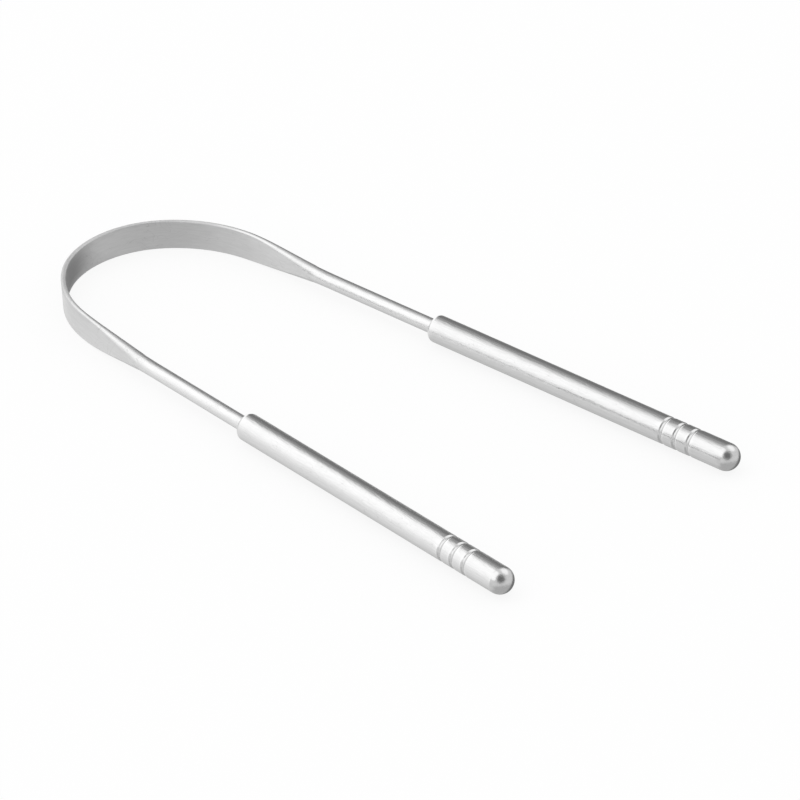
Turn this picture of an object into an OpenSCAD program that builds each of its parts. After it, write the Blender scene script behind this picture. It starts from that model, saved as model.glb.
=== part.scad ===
// Tongue scraper: one stainless wire bent to a springy U, pressed flat along its loop to make
// the scraping band, with a turned steel handle on each of its two round ends.
// The loop's crown points to +Y, the handles' tails to -Y, and the band's edges face up and down.

/* [Wire] */
// Diameter of the round wire
wire_d = 3; // [2.4:0.1:3.6]
// Straight wire between a handle's front and the start of the bend
leg_length = 42.2; // [36:0.2:55]
// Angle in degrees by which each arm leans outwards towards its tail
splay = 3.5; // [1:0.5:6]
// Length of the wire's round end that is held inside a handle
tang_length = 18; // [10:1:30]

/* [Loop] */
// Length over which the straight wire eases into the bend
ease_length = 15.5; // [8:0.5:20]
// Radius of the bend's shoulders, to the middle of the wire
shoulder_radius = 27; // [23:0.5:31]
// Length over which the shoulders tighten into the crown
tighten_length = 5.5; // [3:0.5:8]
// Radius of the crown, to the middle of the wire
crown_radius = 19; // [16:0.5:22]
// Turn of the crown in degrees, on each side of its middle
crown_turn = 35; // [25:1:40]

/* [Band] */
// Height of the band that scrapes
band_height = 6.4; // [5:0.1:8]
// Thickness of the band
band_thickness = 0.95; // [0.7:0.05:1.3]
// Straight wire already being pressed flat where the bend starts
press_lead = 14.5; // [8:0.5:20]
// Length over which the round wire turns into the flat band
press_run = 24.5; // [16:0.5:32]

/* [Handles] */
// Diameter of a handle
handle_d = 5.6; // [4.6:0.1:7]
// Length of a handle, from its front face to the tip of its domed tail
handle_length = 79.8; // [60:0.2:95]
// Rounding of the handle's front edge
shoulder_round = 0.9; // [0.4:0.1:1.2]
// Widening at the mouth of the socket
mouth_chamfer = 0.15; // [0.05:0.05:0.3]
// Radial clearance of the wire's end in its socket
socket_clearance = 0.03; // [0.02:0.01:0.1]
// Empty depth of the socket beyond the wire's end
socket_relief = 1; // [0.5:0.1:3]

/* [Grooves] */
// Number of turned grooves
groove_count = 3; // [1:1:5]
// Distance between two grooves
groove_pitch = 3.5; // [2:0.1:4.5]
// Width of a groove
groove_width = 1.1; // [0.6:0.1:1.6]
// Depth of a groove
groove_depth = 0.28; // [0.1:0.02:0.5]
// Distance from the last groove to the tip of the tail
tail_length = 10.6; // [6:0.2:16]

/* [Hidden] */

wire_r = wire_d / 2;
handle_r = handle_d / 2;
// How far cuts run past the surface that they open
overrun = 0.5;
// Points round the band's section, and rings along each half of the pressed stretch
section_points = 24;
half_rings = 38;
turn_facets = 96;
// The pressed stretch starts a little thinner than the round wire and inside its end
nest_step = 0.02;
nest_length = 0.6;

// Curvature along one half of the wire, from a handle's front (0) to the middle of the crown:
// straight leg, easing in, shoulder, tightening, crown
shoulder_bend = 1 / shoulder_radius;
crown_bend = 1 / crown_radius;
half_turn = 90 - splay;
function in_degrees(radians) = radians * 180 / PI;
ease_turn = in_degrees(ease_length * shoulder_bend / 2);
tighten_turn = in_degrees(tighten_length * (shoulder_bend + crown_bend) / 2);
shoulder_turn = max(0, half_turn - crown_turn - ease_turn - tighten_turn);
shoulder_length = shoulder_turn * PI / 180 * shoulder_radius;
crown_length = crown_turn * PI / 180 * crown_radius;
bend_start = leg_length;
shoulder_start = bend_start + ease_length;
tighten_start = shoulder_start + shoulder_length;
crown_start = tighten_start + tighten_length;
half_length = crown_start + crown_length;
function bend_at(s) = lookup(s, [
    [bend_start, 0],
    [shoulder_start, shoulder_bend],
    [tighten_start, shoulder_bend],
    [crown_start, crown_bend]
]);

// The pressed stretch, walked from the crown's middle back to where the pressing begins
press_start = leg_length - press_lead;
walk_start = press_start - nest_length;
step = (half_length - walk_start) / half_rings;
function turn_of(s) = in_degrees(bend_at(s) * step);
// Each entry holds the distance along the wire, the heading and the place: x, y from the crown
walk = [
    for (
        i = 0, s = half_length, heading = 180, x = 0, y = 0;
        i <= half_rings;
        i = i + 1,
        mid = heading - turn_of(s - step / 2) / 2,
        x = x - step * cos(mid),
        y = y - step * sin(mid),
        heading = heading - turn_of(s - step / 2),
        s = s - step
    ) [s, heading, x, y]
];
walk_end = walk[half_rings];
// The arm's straight axis leans by the heading left over after the whole bend
arm_lean = walk_end[1] - 90;
front_x = walk_end[2] + walk_start * sin(arm_lean);
front_y = walk_end[3] - walk_start * cos(arm_lean);
tail_y = front_y - (handle_length - handle_r) * cos(arm_lean) - handle_r;
tip_y = band_thickness / 2;
// The model is centred along Y and stands on the band's lower edge
middle_y = (tip_y + tail_y) / 2;
axis_z = max(band_height, handle_d) / 2;

function smooth(u) = u * u * (3 - 2 * u);
function pressed(s) = smooth(min(1, max(0, (s - press_start) / press_run)));
function mix(a, b, u) = a + (b - a) * u;
round_d = wire_d - 2 * nest_step;
function height_at(s) = mix(round_d, band_height, pressed(s));
function thickness_at(s) = mix(round_d, band_thickness, pressed(s));

// One section of the pressed wire: flat sides and fully rounded edges
function section(s) = [
    for (i = [0 : section_points - 1])
        let (
            a = (i + 0.5) * 360 / section_points,
            edge_r = thickness_at(s) / 2,
            flat_half = (height_at(s) - thickness_at(s)) / 2
        )
        [edge_r * cos(a), (a < 180 ? flat_half : -flat_half) + edge_r * sin(a)]
];
// The section stands across the heading: its first coordinate points out of the loop
function ring(entry, side) = [
    for (p = section(entry[0]))
        [side * (entry[2] + p[0] * sin(entry[1])), entry[3] - p[0] * cos(entry[1]), p[1]]
];

// The whole pressed stretch, from the left leg over the crown to the right leg
module pressed_stretch() {
    rings = concat(
        [for (i = [half_rings : -1 : 1]) ring(walk[i], -1)],
        [for (i = [0 : half_rings]) ring(walk[i], 1)]
    );
    last = len(rings) - 1;
    n = section_points;
    points = [for (r = rings) each r];
    sides = [
        for (i = [0 : last - 1], j = [0 : n - 1])
            let (k = (j + 1) % n, a = i * n, b = (i + 1) * n)
            each [[a + j, b + k, a + k], [a + j, b + j, b + k]]
    ];
    caps = [[for (j = [0 : n - 1]) j], [for (j = [n - 1 : -1 : 0]) last * n + j]];
    polyhedron(points, concat(sides, caps), convexity = 6);
}

// Places its children on an arm's axis: their +Z runs from the handle's front to the tail
module on_arm(side) {
    translate([side * front_x, front_y, 0])
        rotate([0, 0, side * arm_lean])
            rotate([90, 0, 0])
                children();
}

// The round end of the wire, from inside its handle to where the pressing begins
module round_end() {
    translate([0, 0, -press_start])
        cylinder(h = press_start + tang_length, d = wire_d, $fn = turn_facets);
}

// Circle that cuts one groove, in the handle's turning profile
module groove_cut() {
    cut_r = (groove_width * groove_width / 4 + groove_depth * groove_depth) / (2 * groove_depth);
    translate([handle_r + cut_r - groove_depth, 0])
        circle(r = cut_r, $fn = turn_facets);
}

// Half outline of a handle, turned about the Y axis: front face at 0, dome at the top
module handle_profile() {
    socket_r = wire_r + socket_clearance;
    socket_depth = tang_length + socket_relief;
    difference() {
        union() {
            translate([0, shoulder_round])
                square([handle_r, handle_length - handle_r - shoulder_round]);
            square([handle_r - shoulder_round, shoulder_round]);
            translate([handle_r - shoulder_round, shoulder_round])
                circle(r = shoulder_round, $fn = turn_facets);
            intersection() {
                translate([0, handle_length - handle_r])
                    circle(r = handle_r, $fn = turn_facets);
                translate([0, handle_length - handle_r])
                    square([handle_r, handle_r]);
            }
        }
        for (i = [0 : groove_count - 1])
            translate([0, handle_length - tail_length - i * groove_pitch])
                groove_cut();
        translate([0, -overrun])
            square([socket_r, socket_depth + overrun]);
        polygon([
            [0, -overrun],
            [socket_r + mouth_chamfer + overrun, -overrun],
            [socket_r, mouth_chamfer],
            [0, mouth_chamfer]
        ]);
    }
}

module handle() {
    rotate_extrude($fn = turn_facets)
        handle_profile();
}

module placed() {
    translate([0, -middle_y, axis_z])
        children();
}

module scraper() {
    color("silver")
        placed()
            union() {
                pressed_stretch();
                on_arm(-1) round_end();
                on_arm(1) round_end();
            }
}

module left_handle() {
    color("gainsboro")
        placed()
            on_arm(-1) handle();
}

module right_handle() {
    color("gainsboro")
        placed()
            on_arm(1) handle();
}

scraper();
left_handle();
right_handle();
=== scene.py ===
"""Looks of a stainless tongue scraper: one bent wire with a pressed band, and two turned handles.

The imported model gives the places, and every piece here stands for one of its nodes. Lengths are
in metres, +Y points to the loop's crown, -Y to the handles' tails and +Z up across the band.
"""

import logging
import math
from dataclasses import dataclass
from enum import Enum

import bpy
import numpy as np
from mathutils import Matrix, Vector


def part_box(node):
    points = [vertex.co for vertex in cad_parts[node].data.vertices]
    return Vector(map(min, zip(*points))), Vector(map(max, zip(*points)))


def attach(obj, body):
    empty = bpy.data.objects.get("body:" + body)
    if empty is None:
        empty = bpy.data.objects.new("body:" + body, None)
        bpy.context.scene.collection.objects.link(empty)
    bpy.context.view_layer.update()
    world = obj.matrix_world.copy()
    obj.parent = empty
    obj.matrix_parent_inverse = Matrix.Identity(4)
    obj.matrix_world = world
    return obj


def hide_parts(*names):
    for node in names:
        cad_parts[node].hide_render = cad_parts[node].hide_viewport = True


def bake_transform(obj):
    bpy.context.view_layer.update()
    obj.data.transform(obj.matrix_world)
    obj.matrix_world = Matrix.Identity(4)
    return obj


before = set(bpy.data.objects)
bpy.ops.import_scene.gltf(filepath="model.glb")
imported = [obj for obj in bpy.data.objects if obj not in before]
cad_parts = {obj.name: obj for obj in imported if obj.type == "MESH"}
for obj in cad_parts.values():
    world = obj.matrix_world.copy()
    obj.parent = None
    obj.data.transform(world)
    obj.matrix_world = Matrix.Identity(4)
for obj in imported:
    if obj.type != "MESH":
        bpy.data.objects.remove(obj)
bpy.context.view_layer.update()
log = logging.getLogger("tongue_scraper")

MM = 0.001
MICRON = 1e-6
# Names of the vertex attributes that the steels read: coordinates that follow the grain, and
# shares from 0 to 1
GRAIN = "grain"
WEAR = "wear"
HOLLOW = "hollow"
SATIN = "satin"
GROUND = "ground"
# Steps in which the wire's bend is summed
BEND_STEPS = 12000


def smooth(value: np.ndarray) -> np.ndarray:
    """Smooth step: 3 u u - 2 u u u for u held between 0 and 1."""
    held = np.clip(value, 0.0, 1.0)
    return held * held * (3.0 - 2.0 * held)


def mix(start: float, end: float, share: np.ndarray) -> np.ndarray:
    """Straight mix from start to end by a share from 0 to 1."""
    return start + (end - start) * share


def bell(distance: np.ndarray, width: float) -> np.ndarray:
    """Bell curve: e to the power of minus the square of distance over width."""
    return np.exp(-((distance / width) ** 2))


@dataclass
class Skin:
    """A closed surface of rings, with a pole at each end.

    Attributes:
        rings: places, one row of points per ring, shape (rings, around, 3).
        start_pole: the point that closes the first ring.
        end_pole: the point that closes the last ring.
        marks: named values per ring point, shape (rings, around) or (rings, around, 3).
    """

    rings: np.ndarray
    start_pole: np.ndarray
    end_pole: np.ndarray
    marks: dict[str, np.ndarray]

    def faces(self) -> list[list[int]]:
        """Quads between neighbouring rings and a fan of triangles round each pole.

        A ring's points turn so that their first axis crossed with their second is the way along
        the rings, which makes every face point outwards.

        Returns:
            The faces as lists of vertex numbers.
        """
        count, around = self.rings.shape[:2]
        here = np.arange(around)
        after = (here + 1) % around
        ring = np.arange(count - 1)[:, None] * around
        quads = np.stack(
            [ring + here, ring + after, ring + around + after, ring + around + here], axis=-1
        ).reshape(-1, 4)
        start = np.full(around, count * around)
        end = start + 1
        last = (count - 1) * around
        start_fan = np.stack([start, after, here], axis=-1)
        end_fan = np.stack([end, last + here, last + after], axis=-1)
        return quads.tolist() + start_fan.tolist() + end_fan.tolist()

    def with_poles(self, values: np.ndarray) -> np.ndarray:
        """Values per ring point as one flat list, with a mean value added for each pole.

        Args:
            values: values per ring point, shape (rings, around) or (rings, around, 3).

        Returns:
            One row per vertex, the two poles last.
        """
        width = values.shape[2] if values.ndim == 3 else 1
        table = values.reshape(values.shape[0], values.shape[1], width)
        ends = np.stack([table[0].mean(axis=0), table[-1].mean(axis=0)])
        return np.concatenate([table.reshape(-1, width), ends])

    def piece(self, name: str) -> bpy.types.Object:
        """The surface as a smooth shaded mesh object that sits at the origin.

        Args:
            name: the name of the piece.

        Returns:
            The new object, linked to the scene.
        """
        places = np.concatenate([self.rings.reshape(-1, 3), [self.start_pole], [self.end_pole]])
        mesh = bpy.data.meshes.new(name)
        mesh.from_pydata(places.tolist(), [], self.faces())
        for label, values in self.marks.items():
            vector = values.ndim == 3
            kind, key = ("FLOAT_VECTOR", "vector") if vector else ("FLOAT", "value")
            attribute = mesh.attributes.new(label, kind, "POINT")
            flat = self.with_poles(values).astype(np.float32).ravel()
            attribute.data.foreach_set(key, flat)
        mesh.shade_smooth()
        mesh.update()
        made = bpy.data.objects.new(name, mesh)
        bpy.context.scene.collection.objects.link(made)
        return made


class Flow:
    """A socket's value. Python's operators on it add Math nodes."""

    def __init__(self, bench: "NodeBench", socket: bpy.types.NodeSocket) -> None:
        """Keeps the bench that adds nodes and the output socket that holds the value."""
        self.bench = bench
        self.socket = socket

    def __add__(self, other: "Flow | float") -> "Flow":
        """Sum of the two values."""
        return self.bench.maths("ADD", self, other)

    def __radd__(self, other: float) -> "Flow":
        """Sum of a number and this value."""
        return self.bench.maths("ADD", other, self)

    def __sub__(self, other: "Flow | float") -> "Flow":
        """This value less the other."""
        return self.bench.maths("SUBTRACT", self, other)

    def __rsub__(self, other: float) -> "Flow":
        """A number less this value."""
        return self.bench.maths("SUBTRACT", other, self)

    def __mul__(self, other: "Flow | float") -> "Flow":
        """Product of the two values."""
        return self.bench.maths("MULTIPLY", self, other)

    def __rmul__(self, other: float) -> "Flow":
        """Product of a number and this value."""
        return self.bench.maths("MULTIPLY", other, self)

    def __abs__(self) -> "Flow":
        """This value without its sign."""
        return self.bench.maths("ABSOLUTE", self)


class NodeBench:
    """Adds nodes to one node tree and joins them."""

    def __init__(self, tree: bpy.types.NodeTree) -> None:
        """Takes an empty node tree, or empties it."""
        tree.nodes.clear()
        self.tree = tree

    def add(
        self,
        kind: str,
        settings: dict[str, object] | None = None,
        inputs: dict[str | int, object] | None = None,
    ) -> bpy.types.Node:
        """Adds one node.

        Args:
            kind: the node's type.
            settings: its own properties, set first.
            inputs: values or flows for its sockets, by name or number.

        Returns:
            The new node.
        """
        node = self.tree.nodes.new(kind)
        for key, value in (settings or {}).items():
            setattr(node, key, value)
        for key, value in (inputs or {}).items():
            if isinstance(value, Flow):
                self.tree.links.new(value.socket, node.inputs[key])
            else:
                node.inputs[key].default_value = value
        return node

    def out(self, node: bpy.types.Node, key: str | int = 0) -> Flow:
        """One output of a node as a flow."""
        return Flow(self, node.outputs[key])

    def maths(self, operation: str, *values: "Flow | float") -> Flow:
        """A Math node's result, for one or two values."""
        node = self.add("ShaderNodeMath", {"operation": operation}, dict(enumerate(values)))
        return self.out(node)

    def scaled(self, vector: Flow, factors: tuple[float, float, float]) -> Flow:
        """A vector with each of its parts multiplied by its own factor."""
        inputs = {0: vector, 1: factors}
        return self.out(self.add("ShaderNodeVectorMath", {"operation": "MULTIPLY"}, inputs))

    def dot(self, vector: Flow, toward: tuple[float, float, float]) -> Flow:
        """Dot product of a vector and a fixed direction."""
        inputs = {0: vector, 1: toward}
        node = self.add("ShaderNodeVectorMath", {"operation": "DOT_PRODUCT"}, inputs)
        return self.out(node, "Value")

    def turned(self, vector: Flow, axis: tuple[float, float, float], angle: float) -> Flow:
        """A vector turned by an angle about an axis through the origin."""
        inputs = {"Vector": vector, "Axis": axis, "Angle": angle}
        return self.out(self.add("ShaderNodeVectorRotate", {}, inputs))

    def noise(self, vector: Flow, detail: float = 2.0, rough: float = 0.5) -> Flow:
        """Noise between 0 and 1 around one half, at one cell per unit of the vector."""
        inputs = {"Vector": vector, "Scale": 1.0, "Detail": detail, "Roughness": rough}
        return self.out(self.add("ShaderNodeTexNoise", {}, inputs))

    def step(self, value: Flow, low: float, high: float) -> Flow:
        """Smooth step of a value, 0 at low and 1 at high."""
        inputs = {"Value": value, "From Min": low, "From Max": high}
        settings = {"interpolation_type": "SMOOTHSTEP"}
        return self.out(self.add("ShaderNodeMapRange", settings, inputs))

    def tint(self, share: Flow, first: tuple[float, ...], second: tuple[float, ...]) -> Flow:
        """Colour mixed from first to second by a share."""
        node = self.add("ShaderNodeMix", {"data_type": "RGBA"}, {0: share, 6: first, 7: second})
        return self.out(node, 2)

    def mark(self, label: str, key: str = "Fac") -> Flow:
        """A vertex attribute of the piece."""
        return self.out(self.add("ShaderNodeAttribute", {"attribute_name": label}), key)


@dataclass(frozen=True)
class MarkTones:
    """How far each mark takes the colour from the clean grey towards the dull grey, as a share.

    Attributes:
        mean: the share that the hairs swing about.
        satin: added by satin metal.
        hair: swing of the polishing hairs.
        smear: added by polishing smears.
        satin_smear: swing of the smears on satin metal.
        darkening: share of the dull grey in a hollow.
        darkening_wave: how much the slow waves change that.
        scratch: added by a scratch.
        wear: taken away by bright wear.
    """

    mean: float = 0.09
    satin: float = 0.10
    hair: float = 0.3
    smear: float = 0.10
    satin_smear: float = 0.3
    darkening: float = 0.75
    darkening_wave: float = 0.5
    scratch: float = 0.12
    wear: float = 0.10


@dataclass(frozen=True)
class MarkRoughness:
    """How much each mark adds to the roughness.

    Attributes:
        hair: swing of the polishing hairs.
        smear: swing of the polishing smears.
        scratch: added by a scratch.
        hollow: added in a hollow.
        ground: added by grinding.
        wear: taken away by bright wear.
    """

    hair: float = 0.07
    smear: float = 0.10
    scratch: float = 0.12
    hollow: float = 0.12
    ground: float = 0.3
    wear: float = 0.05


@dataclass(frozen=True)
class Scratches:
    """A set of stray scratches that all run one way.

    Attributes:
        angle: turn of the lines away from the grain.
        pitch: noise cells per metre across the lines.
        axis: axis about which the lines are turned.
        stretch: length of a cell over its width.
        core: distance of the noise from one half up to which a line is full.
        edge: distance at which it ends.
        patch_width: width of a patch, in cells.
        patch_run: length of a patch, in widths of a cell.
        patch_low: noise of the patches at which a line fades out.
        patch_high: noise of the patches above which it is whole.
    """

    angle: float
    pitch: float
    axis: tuple[float, float, float] = (1.0, 0.35, 0.0)
    stretch: float = 16.0
    core: float = 0.004
    edge: float = 0.016
    patch_width: float = 4.0
    patch_run: float = 9.0
    patch_low: float = 0.54
    patch_high: float = 0.64

    def drawn(self, bench: NodeBench, grain: Flow) -> Flow:
        """Thin lines where a drawn out noise crosses one half, kept in a few patches.

        Args:
            bench: where the nodes are added.
            grain: the grain coordinates.

        Returns:
            1 on a scratch and 0 elsewhere.
        """
        turned = bench.turned(grain, self.axis, self.angle)
        cells = (self.pitch, self.pitch, self.pitch / self.stretch)
        noise = bench.noise(bench.scaled(turned, cells), detail=0.0)
        line = 1.0 - bench.step(abs(noise - 0.5), self.core, self.edge)
        wide = self.pitch / self.patch_width
        patches = (wide, wide, self.pitch / self.patch_run)
        patch = bench.noise(bench.scaled(turned, patches), detail=0.0)
        return line * bench.step(patch, self.patch_low, self.patch_high)


@dataclass(frozen=True)
class SteelFinish:
    """Worked stainless steel: its colour, its shine and the marks that its making left.

    Attributes:
        label: the material's name.
        grey: reflectance of clean metal.
        dull_grey: reflectance in hollows, towards which they are darkened.
        roughness: roughness of polished metal.
        satin_roughness: roughness of pressed flats.
        hair_pitch: polishing hairs per metre across the grain.
        hair_run: polishing hairs per metre along the grain.
        hair_depth: depth of a polishing hair.
        ring_pitch: turned rings per metre along the axis.
        ring_depth: depth of a turned ring.
        wave_pitch: slow waves per metre.
        wave_depth: height of the slow waves.
        scratch_depth: depth of a stray scratch.
        satin_calm: share of a hair's depth that satin metal has lost.
        smear_pitch: polishing smears per metre, across the grain twice and along it.
        scratches: the sets of stray scratches.
        tones: what the marks do to the colour.
        roughening: what the marks do to the roughness.
    """

    label: str
    grey: float = 0.655
    dull_grey: float = 0.3
    roughness: float = 0.14
    satin_roughness: float = 0.26
    hair_pitch: float = 2800.0
    hair_run: float = 350.0
    hair_depth: float = 38.0 * MICRON
    ring_pitch: float = 7000.0
    ring_depth: float = 0.0
    wave_pitch: float = 260.0
    wave_depth: float = 38.0 * MICRON
    scratch_depth: float = 2.0 * MICRON
    satin_calm: float = 0.7
    smear_pitch: tuple[float, float, float] = (110.0, 110.0, 60.0)
    scratches: tuple[Scratches, Scratches] = (Scratches(0.5, 1300.0), Scratches(-0.9, 900.0))
    tones: MarkTones = MarkTones()
    roughening: MarkRoughness = MarkRoughness()

    def hairs(self, bench: NodeBench, grain: Flow) -> Flow:
        """Noise drawn out along the grain: fine parallel polishing hairs."""
        stretched = bench.scaled(grain, (self.hair_pitch, self.hair_pitch, self.hair_run))
        return bench.noise(stretched, detail=3.0, rough=0.6)

    def waves(self, bench: NodeBench, grain: Flow) -> Flow:
        """Slow noise, twice as long along the grain: what hand polishing leaves of a surface."""
        stretched = bench.scaled(grain, (self.wave_pitch, self.wave_pitch, self.wave_pitch / 2.0))
        return bench.noise(stretched, detail=1.0)

    def rings(self, bench: NodeBench, grain: Flow) -> Flow:
        """Noise that changes along the axis alone: the rings of the turning tool."""
        return bench.noise(bench.scaled(grain, (0.0, 0.0, self.ring_pitch)), detail=2.0)

    def dress(self) -> bpy.types.Material:
        """Builds the material.

        Returns:
            The material, with colour, roughness and bump from the marks of its making.
        """
        material = bpy.data.materials.new(self.label)
        material.use_nodes = True
        bench = NodeBench(material.node_tree)
        grain = bench.mark(GRAIN, "Vector")
        wear, hollow, satin = bench.mark(WEAR), bench.mark(HOLLOW), bench.mark(SATIN)
        ground = bench.mark(GROUND)
        hairs = self.hairs(bench, grain) - 0.5
        waves = self.waves(bench, grain) - 0.5
        rings = self.rings(bench, grain) - 0.5
        first, second = self.scratches
        scratches = first.drawn(bench, grain) + second.drawn(bench, grain)
        smears = bench.noise(bench.scaled(grain, self.smear_pitch), detail=3.0) - 0.5

        tones, rough = self.tones, self.roughening
        # Hollows are darker: the bottoms of the grooves and round the socket
        darkening = hollow * (tones.darkening + tones.darkening_wave * waves)
        swings = tones.hair * hairs + tones.satin_smear * satin * smears
        clean = tones.mean + tones.satin * satin + swings
        marked = tones.smear * abs(smears) + tones.scratch * scratches
        shade = clean + darkening + marked - tones.wear * wear
        colour = bench.tint(shade, (self.grey,) * 3 + (1.0,), (self.dull_grey,) * 3 + (1.0,))
        polished = self.roughness + (self.satin_roughness - self.roughness) * satin
        roughness = (
            polished
            + rough.hair * hairs
            + rough.smear * smears
            + rough.scratch * scratches
            + rough.hollow * hollow
            + rough.ground * ground
            - rough.wear * wear
        )
        height = (
            self.hair_depth * hairs * (1.0 - self.satin_calm * satin)
            + self.ring_depth * rings
            + self.wave_depth * waves
            - self.scratch_depth * scratches
        )
        relief = {"Strength": 1.0, "Distance": 1.0, "Height": height}
        bump = bench.add("ShaderNodeBump", {}, relief)
        metal = bench.add(
            "ShaderNodeBsdfPrincipled",
            {},
            {
                "Base Color": colour,
                "Metallic": 1.0,
                "Roughness": roughness,
                "Normal": bench.out(bump),
            },
        )
        bench.add("ShaderNodeOutputMaterial", {}, {"Surface": bench.out(metal)})
        return material


@dataclass(frozen=True)
class WireBend:
    """The line that the middle of the wire follows, in the plane of the loop.

    From a handle's front the wire is straight, eases into the shoulder's radius, tightens to the
    crown's radius, and does the same in reverse on the other side.

    Attributes:
        crown_y: place of the crown's middle.
        level: height of the line.
        leg: straight wire in front of a handle.
        easing: length over which the bend eases in.
        shoulder_radius: radius of the shoulders.
        tightening: length over which the shoulder tightens to the crown.
        crown_radius: radius of the crown.
        crown_turn: turn of the crown on each side of its middle.
        lean: outward lean of each arm.
    """

    crown_y: float
    level: float
    leg: float = 42.2 * MM
    easing: float = 15.5 * MM
    shoulder_radius: float = 27.0 * MM
    tightening: float = 5.5 * MM
    crown_radius: float = 19.0 * MM
    crown_turn: float = math.radians(35.0)
    lean: float = math.radians(3.488)

    def knots(self) -> tuple[np.ndarray, np.ndarray]:
        """Distances from a handle's front at which the bend changes its law, and the bend there.

        The shoulder takes the turn that the easing, the tightening and the crown leave of a
        quarter turn less the lean.

        Returns:
            The distances and the curvatures, which change evenly in between.
        """
        shoulder, crown = 1.0 / self.shoulder_radius, 1.0 / self.crown_radius
        eased = self.easing * shoulder / 2.0
        tightened = self.tightening * (shoulder + crown) / 2.0
        left_over = math.pi / 2.0 - self.lean - self.crown_turn - eased - tightened
        runs = [
            self.leg,
            self.easing,
            left_over * self.shoulder_radius,
            self.tightening,
            self.crown_turn * self.crown_radius,
        ]
        return np.cumsum(runs), np.array([0.0, shoulder, shoulder, crown, crown])

    @property
    def half_length(self) -> float:
        """Length of the wire from a handle's front to the crown's middle."""
        return float(self.knots()[0][-1])

    def walk(self, offset: np.ndarray) -> tuple[np.ndarray, np.ndarray]:
        """Places and turns at signed distances along the wire from the crown's middle.

        The turn is the sum of the curvature walked over, and the place is the sum of the cosine
        and sine of the turn.

        Args:
            offset: distances, negative on the left arm.

        Returns:
            Places, shape (n, 3), and turns from the crown's own direction, shape (n,).
        """
        distances, bends = self.knots()
        reach = float(np.abs(offset).max()) + MM
        fine = np.linspace(0.0, reach, BEND_STEPS + 1)
        middle = (fine[1:] + fine[:-1]) / 2.0
        bend = np.interp(self.half_length - middle, distances, bends, left=0.0)
        turn = np.concatenate([[0.0], np.cumsum(bend * np.diff(fine))])
        heading = (turn[1:] + turn[:-1]) / 2.0
        across = np.concatenate([[0.0], np.cumsum(np.cos(heading) * np.diff(fine))])
        back = np.concatenate([[0.0], np.cumsum(np.sin(heading) * np.diff(fine))])
        away, sign = np.abs(offset), np.sign(offset)
        places = np.stack(
            [
                sign * np.interp(away, fine, across),
                self.crown_y - np.interp(away, fine, back),
                np.full_like(away, self.level),
            ],
            axis=-1,
        )
        return places, sign * np.interp(away, fine, turn)


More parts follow.
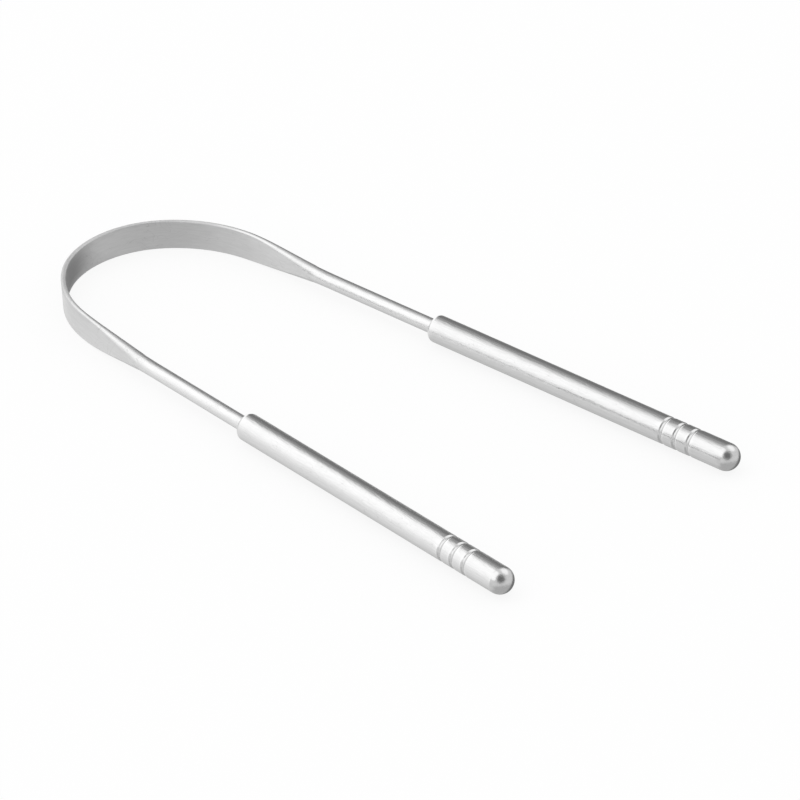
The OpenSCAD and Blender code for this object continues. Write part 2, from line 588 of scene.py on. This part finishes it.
@dataclass
class ScrapingLoop:
    """The bent wire: round ends, straight legs, and the band pressed flat on edge.

    Attributes:
        bend: the line of the wire's middle.
        wire: diameter of the round wire.
        tang: length of a round end inside its handle.
        tang_bevel: bevel of the wire's cut ends.
        band_height: height of the pressed band.
        band_thickness: thickness of the pressed band.
        press_start: distance from a handle's front at which the pressing begins.
        press_run: length over which the wire turns into the band.
        flat_delay: length of slightly oval wire before the flats begin.
        first_flat: half height of the flats where they begin.
        fullness: how round the band's edges stay, 1 for fully round.
        roundest: the most that the edges are, so that each corner keeps its own points.
        corner: rounding where a flat meets an edge.
        first_corner: that rounding where the flats begin, as a share of half the thickness.
        flat_run: length over which edges and corners sharpen to the band's.
        edge_reach: how far an edge's wear and grinding reach down the flats.
        shoulder_wear: bright wear of the edges along the shoulders.
        ground_start: distance from the start of the pressing at which the edges begin to be ground.
        ground_run: length over which they become fully ground.
        satin_share: share of the pressing at which the metal is fully satin.
        oval_share: share of flat_run over which the oval wire gives way to the flats.
        guard: distance of a flat's outermost rows of points from its corners.
        flat_rows: rows of points on a flat.
        corner_rows: rows of points on a corner's rounding.
        edge_rows: rows of points on an edge, with its two ends.
        flex_reach: half the distance between the two ends of the stretch that flexes; not used.
        flex_place: place of those ends along the loop; not used.
        lead: round wire before the pressing whose rings are as close as the band's.
        band_rings: rings on each half of the pressed stretch.
        leg_rings: rings on a leg.
        tang_rings: rings on a round end.
        finish: the steel's finish.
    """

    bend: WireBend
    wire: float = 3.0 * MM
    tang: float = 18.0 * MM
    tang_bevel: float = 0.3 * MM
    band_height: float = 6.39 * MM
    band_thickness: float = 0.95 * MM
    press_start: float = 27.7 * MM
    press_run: float = 24.5 * MM
    flat_delay: float = 5.0 * MM
    first_flat: float = 0.1 * MM
    fullness: float = 0.55
    roundest: float = 0.95
    corner: float = 0.04 * MM
    first_corner: float = 0.35
    flat_run: float = 17.0 * MM
    edge_reach: float = 0.35 * MM
    shoulder_wear: float = 0.4
    ground_start: float = 20.0 * MM
    ground_run: float = 16.0 * MM
    satin_share: float = 1.0 / 3.0
    oval_share: float = 1.0 / 12.0
    guard: float = 0.04 * MM
    flat_rows: int = 5
    corner_rows: int = 5
    edge_rows: int = 21
    flex_reach: float = 21.5 * MM
    flex_place: float = 66.5 * MM
    lead: float = 0.5 * MM
    band_rings: int = 232
    leg_rings: int = 40
    tang_rings: int = 12
    finish: SteelFinish = SteelFinish("band_steel", grey=0.7, roughness=0.28, satin_roughness=0.36)

    def offsets(self) -> np.ndarray:
        """Signed distances of the rings from the crown, closest on the pressed stretch."""
        half = self.bend.half_length
        pressed = np.linspace(0.0, half - self.press_start + self.lead, self.band_rings)
        leg = np.linspace(pressed[-1], half, self.leg_rings)[1:]
        tang = np.linspace(half, half + self.tang - self.tang_bevel, self.tang_rings)[1:]
        away = np.concatenate([pressed, leg, tang, [half + self.tang]])
        return np.concatenate([-away[:0:-1], away])

    def outline(self, pressed: np.ndarray, begun: np.ndarray) -> tuple[np.ndarray, np.ndarray]:
        """Outline of the wire across its line, one row per ring.

        A flat of half height f faces out and one faces in. The top and bottom are arcs through
        the flats' ends and the full height, so their radius is (t t + g g) / 2 g for the half
        thickness t and the rise g. A small arc of radius r rounds each corner: its middle lies r
        inside the flat and r inside the big arc. Before the flats begin, every point is pushed
        to the oval with the same half thickness and half height, a circle on round wire.

        Args:
            pressed: share of the pressing, 0 for round wire and 1 for the band.
            begun: share by which the flats have begun.

        Returns:
            Distances outwards from the loop and upwards, shape (rings, around).
        """
        half_t = mix(self.wire, self.band_thickness, pressed)[:, None] / 2.0
        half_h = mix(self.wire, self.band_height, pressed)[:, None] / 2.0
        first = np.minimum((half_h - self.first_flat) / half_t, self.roundest)
        full = mix(first, self.fullness, begun[:, None])
        rise = full * half_t
        radius = (half_t**2 + rise**2) / (2.0 * rise)
        arc_middle = half_h - radius
        corner = mix(self.first_corner * half_t, self.corner, begun[:, None])
        corner_x = half_t - corner
        corner_y = arc_middle + np.sqrt(np.maximum((radius - corner) ** 2 - corner_x**2, 0.0))
        join = np.arctan2(corner_y - arc_middle, corner_x)

        guard = np.minimum(self.guard, corner_y / 4.0)
        flat_y = (corner_y - guard) * np.linspace(-1.0, 1.0, self.flat_rows)[None, :]
        flat_x = np.broadcast_to(half_t, flat_y.shape)
        corner_angle = join * np.linspace(0.0, 1.0, self.corner_rows)[None, :]
        corner_px = corner_x + corner * np.cos(corner_angle)
        corner_py = corner_y + corner * np.sin(corner_angle)
        arc_share = np.linspace(0.0, 1.0, self.edge_rows)[None, 1:-1]
        arc_angle = join + (math.pi - 2.0 * join) * arc_share
        arc_px = radius * np.cos(arc_angle)
        arc_py = arc_middle + radius * np.sin(arc_angle)
        # Round the outline: outer flat, top corner and arc, inner flat, bottom corner and arc
        upper_x = [flat_x, corner_px, arc_px, -corner_px[:, ::-1]]
        lower_x = [-flat_x, -corner_px, arc_px[:, ::-1], corner_px[:, ::-1]]
        upper_y = [flat_y, corner_py, arc_py, corner_py[:, ::-1]]
        lower_y = [-flat_y, -corner_py, -arc_py[:, ::-1], -corner_py[:, ::-1]]
        outwards = np.concatenate(upper_x + lower_x, axis=1)
        upwards = np.concatenate(upper_y + lower_y, axis=1)
        reach = np.hypot(outwards, upwards)
        oval = reach / np.hypot(outwards / half_t, upwards / half_h)
        from_oval = mix(oval, reach, smooth(begun / self.oval_share)[:, None]) / reach
        return outwards * from_oval, upwards * from_oval

    def skin(self) -> Skin:
        """The outline carried along the wire's line.

        Returns:
            The surface, with its grain coordinates on the wire as it was before bending.
        """
        offset = self.offsets()
        from_start = self.bend.half_length - np.abs(offset) - self.press_start
        pressed = smooth(from_start / self.press_run)
        begun = np.clip((from_start - self.flat_delay) / self.flat_run, 0.0, 1.0)
        outwards, upwards = self.outline(pressed, begun)
        bevel = np.ones(len(offset))
        bevel[[0, -1]] = 1.0 - self.tang_bevel / (self.wire / 2.0)
        outwards, upwards = outwards * bevel[:, None], upwards * bevel[:, None]
        places, turn = self.bend.walk(offset)
        out_axis = np.stack([np.sin(turn), np.cos(turn), np.zeros_like(turn)], axis=-1)
        rings = places[:, None, :] + outwards[..., None] * out_axis[:, None, :]
        rings[..., 2] += upwards
        along = np.broadcast_to(offset[:, None], outwards.shape)
        crowned = smooth((from_start - self.ground_start) / self.ground_run)
        marks = self.marks(outwards, upwards, pressed, crowned)
        marks[GRAIN] = np.stack([outwards, upwards, along], axis=-1)
        return Skin(rings, places[0], places[-1], marks)

    def marks(
        self, outwards: np.ndarray, upwards: np.ndarray, pressed: np.ndarray, crowned: np.ndarray
    ) -> dict[str, np.ndarray]:
        """Where the wire is worn bright, where it is satin and where its edges are ground.

        Args:
            outwards: distances outwards from the loop.
            upwards: distances upwards.
            pressed: share of the pressing per ring.
            crowned: share by which a ring belongs to the crown.

        Returns:
            The wear, satin, ground and hollow values per ring point.
        """
        half_h = np.abs(upwards).max(axis=1, keepdims=True)
        edge = bell(half_h - np.abs(upwards), self.edge_reach)
        wear = self.shoulder_wear * edge * (pressed * (1.0 - crowned))[:, None]
        satin = np.ones_like(outwards) * smooth(pressed / self.satin_share)[:, None]
        return {
            WEAR: wear,
            SATIN: satin,
            GROUND: edge * crowned[:, None],
            HOLLOW: np.zeros_like(outwards),
        }

    def build(self) -> bpy.types.Object:
        """Builds and dresses the loop, and lets it bend between the two arms.

        Returns:
            The finished piece.
        """
        # Builds and dresses the loop, in the place of the scraper's node.
        piece = self.skin().piece("scraping_loop")
        piece.data.materials.append(self.finish.dress())
        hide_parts("scraper")
        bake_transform(piece)
        return piece


class Side(Enum):
    """The two arms, by their side of the loop."""

    LEFT = -1
    RIGHT = 1

    @property
    def handle(self) -> str:
        """Name of the handle's node on this side."""
        return f"{self.name.lower()}_handle"

    @property
    def arm(self) -> str:
        """Name of the body that the handle rides on."""
        return f"{self.name.lower()}_arm"


def arc(
    middle: tuple[float, float], radius: float, start: float, end: float, count: int
) -> np.ndarray:
    """Points of an arc: the middle plus the radius times the cosine and sine of the angle.

    Args:
        middle: place along the axis and distance from it.
        radius: radius of the arc.
        start: first angle in degrees, 0 along the axis towards the tail and 90 away from it.
        end: last angle in degrees.
        count: number of points.

    Returns:
        Rows of place along the axis and distance from it.
    """
    angle = np.radians(np.linspace(start, end, count))
    place, reach = middle
    return np.stack([place + radius * np.cos(angle), reach + radius * np.sin(angle)], axis=-1)


@dataclass
class TurnedHandle:
    """A turned steel handle: socket, rounded front, plain grip, three grooves and domed tail.

    Attributes:
        side: which arm it is on.
        bend: the line of the wire, which gives the handle's front and its axis.
        finish: the steel's finish.
        diameter: diameter of the grip.
        length: from the front face to the tip of the dome.
        front_round: rounding of the front edge.
        mouth: widening at the mouth of the socket.
        socket: diameter of the socket.
        socket_depth: depth of the socket.
        socket_floor: radius of the socket's flat floor, as a share of the socket's own.
        floor_bevel: height of the bevel round that floor.
        groove_places: middles of the grooves, from the front.
        groove_width: width of a groove.
        groove_depth: depth of a groove.
        groove_darkening: how much darker the bottom of a groove is.
        darkening_line: share of a groove's depth below which it is darker.
        lip_wear: reach of the bright wear at a groove's lips.
        front_wear: reach of the bright wear at the front edge.
        mouth_dirt: reach of the dirt round the socket's mouth, in widenings of the mouth.
        ring_gap: largest distance between the rings of the plain grip.
        groove_rings: rings on a groove.
        front_rings: rings on the rounding of the front edge.
        tail_rings: rings from the last groove to the dome.
        dome_rings: rings on the dome.
        dome_stop: angle from the tip at which the last of them lies, in degrees.
        around: points round the handle.
    """

    side: Side
    bend: WireBend
    finish: SteelFinish
    diameter: float = 5.6 * MM
    length: float = 79.78 * MM
    front_round: float = 0.9 * MM
    mouth: float = 0.15 * MM
    socket: float = 3.06 * MM
    socket_depth: float = 19.0 * MM
    socket_floor: float = 0.93
    floor_bevel: float = 0.1 * MM
    groove_places: tuple[float, ...] = (62.2 * MM, 65.7 * MM, 69.2 * MM)
    groove_width: float = 1.3 * MM
    groove_depth: float = 0.22 * MM
    groove_darkening: float = 0.12
    darkening_line: float = 0.6
    lip_wear: float = 0.15 * MM
    front_wear: float = 0.5 * MM
    mouth_dirt: float = 1.5
    ring_gap: float = 1.2 * MM
    groove_rings: int = 31
    front_rings: int = 17
    tail_rings: int = 10
    dome_rings: int = 40
    dome_stop: float = 1.5
    around: int = 128

    def groove(self, place: float) -> np.ndarray:
        """Outline of one groove, rolled over at both lips by the polishing.

        It lies under the surface by half the depth times 1 plus the cosine of the turn, which
        goes from minus half a turn at one lip to half a turn at the other.

        Args:
            place: the groove's middle, from the front.

        Returns:
            Rows of place along the axis and distance from it.
        """
        share = np.linspace(-0.5, 0.5, self.groove_rings)
        sunk = self.groove_depth * (1.0 + np.cos(math.tau * share)) / 2.0
        return np.stack([place + self.groove_width * share, self.diameter / 2.0 - sunk], axis=-1)

    def outline(self) -> np.ndarray:
        """Half outline from the bottom of the socket, over the front and the grip, to the dome.

        Returns:
            Rows of place along the axis from the front, and distance from the axis.
        """
        radius, hole = self.diameter / 2.0, self.socket / 2.0
        # Rings this close to an edge keep it crisp
        close, closer = 0.05 * MM, 0.02 * MM
        socket = np.array(
            [
                [self.socket_depth, hole / 2.0],
                [self.socket_depth, hole * self.socket_floor],
                [self.socket_depth - self.floor_bevel, hole],
                [self.socket_depth / 2.0, hole],
                [self.mouth + close, hole],
                [self.mouth, hole],
                [closer, hole + self.mouth],
                [0.0, hole + self.mouth + closer],
            ]
        )
        front_middle = (self.front_round, radius - self.front_round)
        front = arc(front_middle, self.front_round, 180.0, 90.0, self.front_rings)
        plain = [socket, front]
        last = self.front_round
        for place in self.groove_places:
            groove = self.groove(place)
            count = max(4, int((groove[0, 0] - last) / self.ring_gap))
            run = np.linspace(last, groove[0, 0], count + 2)[1:-1]
            plain += [np.stack([run, np.full(count, radius)], axis=-1), groove]
            last = groove[-1, 0]
        dome_middle = self.length - radius
        run = np.linspace(last, dome_middle, self.tail_rings)[1:-1]
        plain += [np.stack([run, np.full(len(run), radius)], axis=-1)]
        plain += [arc((dome_middle, 0.0), radius, 90.0, self.dome_stop, self.dome_rings)]
        return np.concatenate(plain)

    def skin(self) -> Skin:
        """The outline turned about the handle's axis.

        Returns:
            The surface, with its grain coordinates across and along the axis.
        """
        half = self.bend.half_length
        fronts, turns = self.bend.walk(np.array([self.side.value * half]))
        front, turn = fronts[0], abs(turns[0])
        along = np.array([self.side.value * math.cos(turn), -math.sin(turn), 0.0])
        up = np.array([0.0, 0.0, 1.0])
        across = np.cross(up, along)
        outline = self.outline()
        angle = np.arange(self.around) * math.tau / self.around
        sideways = outline[:, 1:] * np.cos(angle)
        upwards = outline[:, 1:] * np.sin(angle)
        axis_places = front + outline[:, :1] * along
        rings = axis_places[:, None, :] + sideways[..., None] * across + upwards[..., None] * up
        lengthwise = np.broadcast_to(outline[:, :1], sideways.shape)
        marks = self.marks(outline)
        marks[GRAIN] = np.stack([sideways, upwards, lengthwise], axis=-1)
        start = front + self.socket_depth * along
        end = front + self.length * along
        return Skin(rings, start, end, marks)

    def marks(self, outline: np.ndarray) -> dict[str, np.ndarray]:
        """Where the handle is worn bright, and where it is darker: at the bottoms of the grooves
        and round the socket.

        Args:
            outline: rows of place along the axis and distance from it.

        Returns:
            The wear, satin, ground and hollow values per ring point.
        """
        radius = self.diameter / 2.0
        place, reach = outline[:, 0], outline[:, 1]
        grooved = (place > self.length / 2.0) & (place < self.length - radius)
        in_groove = np.where(grooved, np.clip((radius - reach) / self.groove_depth, 0.0, 1.0), 0.0)
        # Darker towards the bottom of each groove
        hollow = self.groove_darkening * smooth((in_groove - self.darkening_line) / (1.0 - self.darkening_line))
        dirty_reach = self.socket / 2.0 + self.mouth * self.mouth_dirt
        in_socket = (reach < dirty_reach) & (place < self.socket_depth + MM)
        hollow = np.maximum(hollow, in_socket.astype(float))
        wear = np.zeros_like(place)
        for groove in self.groove_places:
            lip_distance = np.abs(np.abs(place - groove) - self.groove_width / 2.0)
            wear = np.maximum(wear, bell(lip_distance, self.lip_wear))
        front_distance = place - self.front_round / 2.0
        wear = np.maximum(wear, bell(front_distance, self.front_wear)) * (1.0 - hollow)
        wide = np.ones(self.around)
        none = np.zeros((len(place), self.around))
        return {
            WEAR: wear[:, None] * wide,
            SATIN: none,
            GROUND: none,
            HOLLOW: hollow[:, None] * wide,
        }

    def build(self) -> bpy.types.Object:
        """Builds and dresses the handle, which rides on its arm.

        Returns:
            The finished piece.
        """
        piece = self.skin().piece(f"{self.side.name.lower()}_turned_handle")
        piece.data.materials.append(self.finish.dress())
        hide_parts(self.side.handle)
        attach(piece, self.side.arm)
        return piece


@dataclass(frozen=True)
class LightZone:
    """A soft round zone of the studio, as the steel mirrors it.

    Attributes:
        azimuth: direction of its middle round the object, in degrees from +X towards +Y.
        height: height of its middle above the horizon, in degrees.
        core: angle from the middle up to which it is full, in degrees.
        edge: angle from the middle at which it ends, in degrees.
        level: its brightness, 1 for white.
    """

    azimuth: float
    height: float
    core: float
    edge: float
    level: float

    def laid_over(self, bench: NodeBench, direction: Flow, under: "Flow | float") -> Flow:
        """This zone over what is under it.

        Args:
            bench: where the nodes are added.
            direction: direction in which the world is seen.
            under: brightness so far.

        Returns:
            The brightness with this zone mixed in.
        """
        round_it, up = math.radians(self.azimuth), math.radians(self.height)
        flat = math.cos(up)
        toward = (flat * math.cos(round_it), flat * math.sin(round_it), math.sin(up))
        facing = bench.dot(direction, toward)
        low, high = math.cos(math.radians(self.edge)), math.cos(math.radians(self.core))
        share = bench.step(facing, low, high)
        return under + (self.level - under) * share


@dataclass
class Studio:
    """Pale floor, soft light, a white background and the camera of the photograph.

    Attributes:
        surround: brightness of the plain surround.
        fill: brightness of the light that reaches the floor.
        floor_reach: half width of the floor.
        floor_grey: reflectance of the floor.
        floor_lift: share of plain white that the camera sees of the floor.
        lamp_place: place of the soft lamp.
        lamp_size: diameter of the soft lamp.
        lamp_power: its power in watts.
        lens: focal length of the camera in millimetres, on a sensor of sensor_width.
        sensor_width: width of the sensor in millimetres.
        camera_place: place of the camera, fitted to the outlines in the photograph like its turn.
        camera_right: direction to the right in the picture.
        camera_up: direction upwards in the picture.
        camera_back: direction out of the picture.
        zones: soft panels and dark corners, each laid over those before it.
    """

    surround: float = 0.9
    fill: float = 0.95
    floor_reach: float = 4.0
    floor_grey: float = 0.95
    floor_lift: float = 0.85
    lamp_place: tuple[float, float, float] = (-0.35, 0.45, 1.1)
    lamp_size: float = 0.9
    lamp_power: float = 1.2
    lens: float = 382.5
    sensor_width: float = 36.0
    camera_place: tuple[float, float, float] = (-0.91292, -1.08409, 0.85362)
    camera_right: tuple[float, float, float] = (0.736617, -0.673872, -0.057379)
    camera_up: tuple[float, float, float] = (0.385551, 0.348712, 0.854254)
    camera_back: tuple[float, float, float] = (-0.555649, -0.651381, 0.516679)
    zones: tuple[LightZone, ...] = (
        LightZone(0.0, -90.0, 35.0, 70.0, 0.3),
        LightZone(-125.0, -75.0, 42.0, 70.0, 0.6),
        LightZone(147.0, -31.0, 6.0, 33.0, 0.84),
        LightZone(5.0, -38.0, 18.0, 41.0, 0.23),
        LightZone(50.0, 34.0, 8.0, 27.0, 0.44),
        LightZone(38.0, 8.0, 14.0, 30.0, 0.25),
        LightZone(100.0, 5.0, 38.0, 52.0, 1.65),
        LightZone(155.0, 50.0, 18.0, 44.0, 1.55),
        LightZone(100.0, -15.0, 0.0, 54.0, 0.95),
        LightZone(-120.0, 37.0, 10.0, 46.0, 0.22),
        LightZone(-10.0, 50.0, 12.0, 32.0, 1.4),
    )

    def light_world(self) -> None:
        """White for the camera, the zones for mirroring metal, and plain fill for the rest."""
        world = bpy.data.worlds.new("studio_surround")
        bpy.context.scene.world = world
        world.use_nodes = True
        world.cycles.sampling_method = "NONE"
        bench = NodeBench(world.node_tree)
        direction = bench.out(bench.add("ShaderNodeTexCoord"), "Generated")
        brightness: Flow | float = self.surround
        for zone in self.zones:
            brightness = zone.laid_over(bench, direction, brightness)
        rays = bench.add("ShaderNodeLightPath")
        camera = bench.out(rays, "Is Camera Ray")
        mirrored = bench.maths(
            "MAXIMUM", bench.out(rays, "Is Glossy Ray"), bench.out(rays, "Is Transmission Ray")
        )
        unseen = brightness * mirrored + self.fill * (1.0 - mirrored)
        strength = camera + unseen * (1.0 - camera)
        shine = bench.add("ShaderNodeBackground", {}, {"Color": (1.0,) * 4, "Strength": strength})
        bench.add("ShaderNodeOutputWorld", {}, {"Surface": bench.out(shine)})

    def lay_floor(self) -> None:
        """A plain pale floor, nearly white for the camera, which keeps a faint shadow."""
        mesh = bpy.data.meshes.new("studio_floor")
        reach = self.floor_reach
        near = [(-reach, -reach, 0.0), (reach, -reach, 0.0)]
        far = [(reach, reach, 0.0), (-reach, reach, 0.0)]
        mesh.from_pydata(near + far, [], [(0, 1, 2, 3)])
        floor = bpy.data.objects.new("studio_floor", mesh)
        bpy.context.scene.collection.objects.link(floor)
        floor.visible_glossy = False
        material = bpy.data.materials.new("pale_floor")
        material.use_nodes = True
        bench = NodeBench(material.node_tree)
        rays = bench.add("ShaderNodeLightPath")
        behind = bench.out(bench.add("ShaderNodeNewGeometry"), "Backfacing")
        pale = bench.add("ShaderNodeBsdfDiffuse", {}, {"Color": (self.floor_grey,) * 3 + (1.0,)})
        white = bench.add("ShaderNodeEmission", {}, {"Color": (1.0,) * 4, "Strength": 1.0})
        clear = bench.add("ShaderNodeBsdfTransparent")
        lifted = bench.out(rays, "Is Camera Ray") * self.floor_lift
        above = {0: lifted, 1: bench.out(pale), 2: bench.out(white)}
        seen = bench.add("ShaderNodeMixShader", {}, above)
        either = {0: behind, 1: bench.out(seen), 2: bench.out(clear)}
        sides = bench.add("ShaderNodeMixShader", {}, either)
        bench.add("ShaderNodeOutputMaterial", {}, {"Surface": bench.out(sides)})
        mesh.materials.append(material)

    def hang_lamp(self) -> None:
        """One large soft lamp above and behind, for the floor's soft shadow."""
        light = bpy.data.lights.new("soft_lamp", "AREA")
        light.shape = "DISK"
        light.size = self.lamp_size
        light.energy = self.lamp_power
        lamp = bpy.data.objects.new("soft_lamp", light)
        lamp.location = self.lamp_place
        toward = Vector((0.0, 0.0, 0.0)) - lamp.location
        lamp.rotation_mode = "QUATERNION"
        lamp.rotation_quaternion = toward.to_track_quat("-Z", "Y")
        lamp.visible_glossy = False
        lamp.visible_camera = False
        bpy.context.scene.collection.objects.link(lamp)

    def place_camera(self) -> None:
        """The camera at the photograph's place, with its long lens."""
        data = bpy.data.cameras.new("photo_camera")
        data.sensor_width = self.sensor_width
        data.lens = self.lens
        data.clip_start, data.clip_end = 0.1, 20.0
        camera = bpy.data.objects.new("photo_camera", data)
        turn = Matrix((self.camera_right, self.camera_up, self.camera_back)).transposed().to_4x4()
        camera.matrix_world = Matrix.Translation(self.camera_place) @ turn
        bpy.context.scene.collection.objects.link(camera)
        bpy.context.scene.camera = camera

    def build(self) -> None:
        """Sets the stage, the light and the camera."""
        bpy.context.scene.view_settings.view_transform = "Standard"
        self.light_world()
        self.lay_floor()
        self.hang_lamp()
        self.place_camera()


def main() -> None:
    """Builds the studio and the scraper's three pieces."""
    logging.basicConfig(level=logging.INFO, format="%(name)s: %(message)s")
    Studio().build()
    low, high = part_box("scraper")
    thickness = ScrapingLoop.band_thickness
    bend = WireBend(crown_y=high.y - thickness / 2.0, level=(low.z + high.z) / 2.0)
    loop = ScrapingLoop(bend).build()
    log.info("%s: %d faces", loop.name, len(loop.data.polygons))
    steel = SteelFinish("handle_steel", ring_depth=0.5 * MICRON)
    for side in Side:
        handle = TurnedHandle(side, bend, steel).build()
        log.info("%s: %d faces", handle.name, len(handle.data.polygons))


if __name__ == "__main__":
    main()
